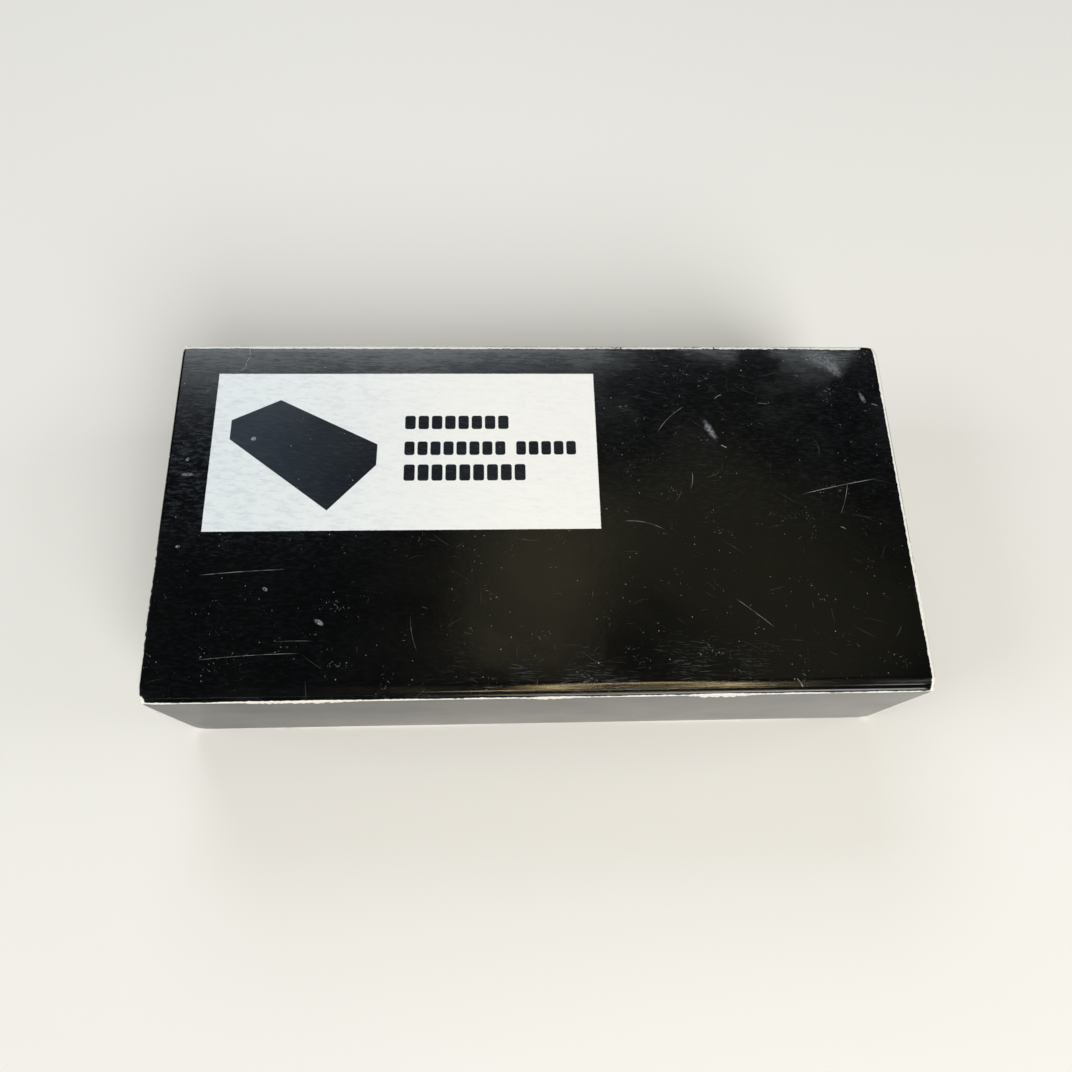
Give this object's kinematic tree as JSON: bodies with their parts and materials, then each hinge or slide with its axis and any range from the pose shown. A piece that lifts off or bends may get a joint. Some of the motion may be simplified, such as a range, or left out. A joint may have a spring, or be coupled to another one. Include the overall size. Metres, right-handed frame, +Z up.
{
  "type": "boxed charcoal block",
  "caption": "Worn glossy black folding carton with tuck ends and a white printed panel, holding a pressed rectangular charcoal block.",
  "frame": {"origin": "centre of the carton's base", "axes": "+X along the length, left closure at -X and right closure at +X; +Y to the back wall with the glue seam; +Z up"},
  "size_m": [0.144, 0.073, 0.033],
  "materials": {
    "printed_board": "gloss black print over grey-white paperboard, scuffed, with worn white folds",
    "dried_glue": "thin dried adhesive, slightly yellow",
    "pressed_charcoal": "matt black pressed charcoal, fine grain"
  },
  "bodies": {
    "carton": {"top_panel": "printed_board", "front_panel": "printed_board", "bottom_panel": "printed_board", "back_panel": "printed_board", "glue_flap": "printed_board", "seam_glue": "dried_glue"},
    "left_closure": {"left_closure_panel": "printed_board"},
    "left_tuck": {"left_tuck_flap": "printed_board"},
    "left_front_dust": {"left_front_dust_flap": "printed_board"},
    "left_back_dust": {"left_back_dust_flap": "printed_board"},
    "right_closure": {"right_closure_panel": "printed_board"},
    "right_tuck": {"right_tuck_flap": "printed_board"},
    "right_front_dust": {"right_front_dust_flap": "printed_board"},
    "right_back_dust": {"right_back_dust_flap": "printed_board"},
    "block": {"charcoal_block": "pressed_charcoal"}
  },
  "joints": [
    {"name": "left_closure_fold", "type": "hinge", "parent": "carton", "child": "left_closure", "pos_m": [-0.072, 0, 0.033], "axis": [0, 1, 0], "range_deg": [0, 120]},
    {"name": "left_tuck_fold", "type": "hinge", "parent": "left_closure", "child": "left_tuck", "pos_m": [-0.0715, 0, 0.00105], "axis": [0, 1, 0], "range_deg": [-36, 0]},
    {"name": "left_front_dust_fold", "type": "hinge", "parent": "carton", "child": "left_front_dust", "pos_m": [-0.07145, -0.0365, 0.0165], "axis": [0, 0, 1], "range_deg": [0, 90]},
    {"name": "left_back_dust_fold", "type": "hinge", "parent": "carton", "child": "left_back_dust", "pos_m": [-0.07145, 0.0365, 0.0165], "axis": [0, 0, -1], "range_deg": [0, 90]},
    {"name": "right_closure_fold", "type": "hinge", "parent": "carton", "child": "right_closure", "pos_m": [0.072, 0, 0], "axis": [0, 1, 0], "range_deg": [0, 90]},
    {"name": "right_tuck_fold", "type": "hinge", "parent": "right_closure", "child": "right_tuck", "pos_m": [0.0715, 0, 0.03195], "axis": [0, 1, 0], "range_deg": [-27, 0]},
    {"name": "right_front_dust_fold", "type": "hinge", "parent": "carton", "child": "right_front_dust", "pos_m": [0.07145, -0.0365, 0.0165], "axis": [0, 0, -1], "range_deg": [0, 67.5]},
    {"name": "right_back_dust_fold", "type": "hinge", "parent": "carton", "child": "right_back_dust", "pos_m": [0.07145, 0.0365, 0.0165], "axis": [0, 0, 1], "range_deg": [0, 67.5]},
    {"name": "block_slide", "type": "slide", "parent": "carton", "child": "block", "axis": [1, 0, 0], "range_m": [-0.0006, 0.0006]}
  ],
  "couplings": [
    {"joint": "left_tuck_fold", "follows": "left_closure_fold", "ratio": -0.3},
    {"joint": "left_front_dust_fold", "follows": "left_closure_fold", "ratio": 0.75},
    {"joint": "left_back_dust_fold", "follows": "left_closure_fold", "ratio": 0.75},
    {"joint": "right_tuck_fold", "follows": "right_closure_fold", "ratio": -0.3},
    {"joint": "right_front_dust_fold", "follows": "right_closure_fold", "ratio": 0.75},
    {"joint": "right_back_dust_fold", "follows": "right_closure_fold", "ratio": 0.75}
  ]
}
